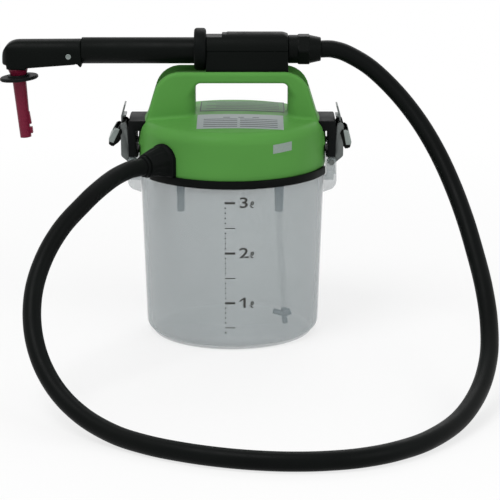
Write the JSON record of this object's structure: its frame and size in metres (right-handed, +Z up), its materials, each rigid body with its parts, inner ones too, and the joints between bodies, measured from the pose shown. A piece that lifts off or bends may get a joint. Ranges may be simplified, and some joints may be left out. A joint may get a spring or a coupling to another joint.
{
  "type": "battery water filler",
  "caption": "Portable water filler: round translucent tank with a lift-off pump head, moulded carrying handle, toggle latches, and a right-angle dispensing gun on a thick hose.",
  "frame": {"origin": "centre of the tank's foot, on the floor", "axes": "+X to the right, towards the end of the handle where the hose joins the gun; +Y to the back, away from the hose loop; +Z up"},
  "size_m": [0.4504, 0.4906, 0.2887],
  "materials": {
    "tank_plastic": "milky, slightly translucent polyethylene, moulded",
    "steel": "plated sheet steel, satin",
    "bright_metal": "bright, fine-ground",
    "black_plastic": "black, low sheen",
    "dark_plastic": "near black, fine mould grain",
    "rubber": "dark grey, dull",
    "green_plastic": "bright green, injection moulded, soft sheen",
    "boot_rubber": "black, dull",
    "hose_rubber": "black, smooth, soft sheen",
    "cell_metal": "printed sleeve, satin",
    "board": "green laminate",
    "clear_hose": "clear flexible tube",
    "grey_plastic": "blue-grey, low sheen",
    "crimson_plastic": "crimson, soft sheen"
  },
  "bodies": {
    "tank": {"tank": "tank_plastic", "lug_pins": "steel", "latch_base_left": "steel", "latch_base_right": "steel", "lever_rivets": "steel"},
    "lever_left": {"latch_lever_left": "black_plastic", "lever_pad_left": "bright_metal", "hook_pin_left": "steel"},
    "lever_right": {"latch_lever_right": "black_plastic", "lever_pad_right": "bright_metal", "hook_pin_right": "steel"},
    "hook_left": {"latch_hook_left": "steel"},
    "hook_right": {"latch_hook_right": "steel"},
    "head": {"base_plate": "black_plastic", "tank_seal": "rubber", "head_cover": "green_plastic", "latch_keeper_left": "dark_plastic", "latch_keeper_right": "dark_plastic", "keeper_screws": "steel", "cover_screws": "steel", "hose_boot": "boot_rubber", "hose_ring": "boot_rubber", "battery_holder": "black_plastic", "battery_cells": "cell_metal", "pump_motor": "steel", "pump_body": "dark_plastic", "motor_bracket": "steel", "circuit_board": "board", "inner_hoses": "clear_hose", "suction_fitting": "grey_plastic", "return_fitting": "grey_plastic", "suction_tube": "clear_hose", "strainer": "grey_plastic", "hose": "hose_rubber"},
    "gun": {"nozzle_head": "black_plastic", "extension_tube": "black_plastic", "grip_upper_shell": "black_plastic", "grip_lower_shell": "black_plastic", "grip_collar": "boot_rubber", "hose_nut": "black_plastic", "head_screw": "steel", "grip_screws": "steel", "delivery_tube": "clear_hose", "micro_switch": "dark_plastic", "nozzle_spring": "steel"},
    "nozzle": {"nozzle": "crimson_plastic", "stop_disc": "dark_plastic", "level_electrodes": "bright_metal"}
  },
  "joints": [
    {"name": "head_lift", "type": "slide", "parent": "tank", "child": "head", "axis": [0, 0, 1], "range_m": [0, 0.165]},
    {"name": "latch_lever_left_hinge", "type": "hinge", "parent": "tank", "child": "lever_left", "pos_m": [-0.1008, 0, 0.199], "axis": [0, 1, 0], "range_deg": [-36.6, 73.4]},
    {"name": "latch_hook_left_hinge", "type": "hinge", "parent": "lever_left", "child": "hook_left", "pos_m": [-0.1053, 0, 0.19121], "axis": [0, 1, 0], "range_deg": [-73.4, 36.6]},
    {"name": "latch_lever_right_hinge", "type": "hinge", "parent": "tank", "child": "lever_right", "pos_m": [0.1008, 0, 0.199], "axis": [0, -1, 0], "range_deg": [-21.6, 88.4]},
    {"name": "latch_hook_right_hinge", "type": "hinge", "parent": "lever_right", "child": "hook_right", "pos_m": [0.10313, 0, 0.19031], "axis": [0, -1, 0], "range_deg": [-88.4, 21.6]},
    {"name": "gun_lift", "type": "slide", "parent": "head", "child": "gun", "axis": [0, 0, 1], "range_m": [0, 0.06]},
    {"name": "nozzle_press", "type": "slide", "parent": "gun", "child": "nozzle", "axis": [-0.0872, 0, 0.9962], "range_m": [0, 0.004], "stiffness_N_per_m": 400, "springref_m": -0.004, "deforming": ["nozzle_spring"]}
  ],
  "couplings": [
    {"joint": "latch_hook_left_hinge", "follows": "latch_lever_left_hinge", "ratio": -1},
    {"joint": "latch_hook_right_hinge", "follows": "latch_lever_right_hinge", "ratio": -1}
  ]
}
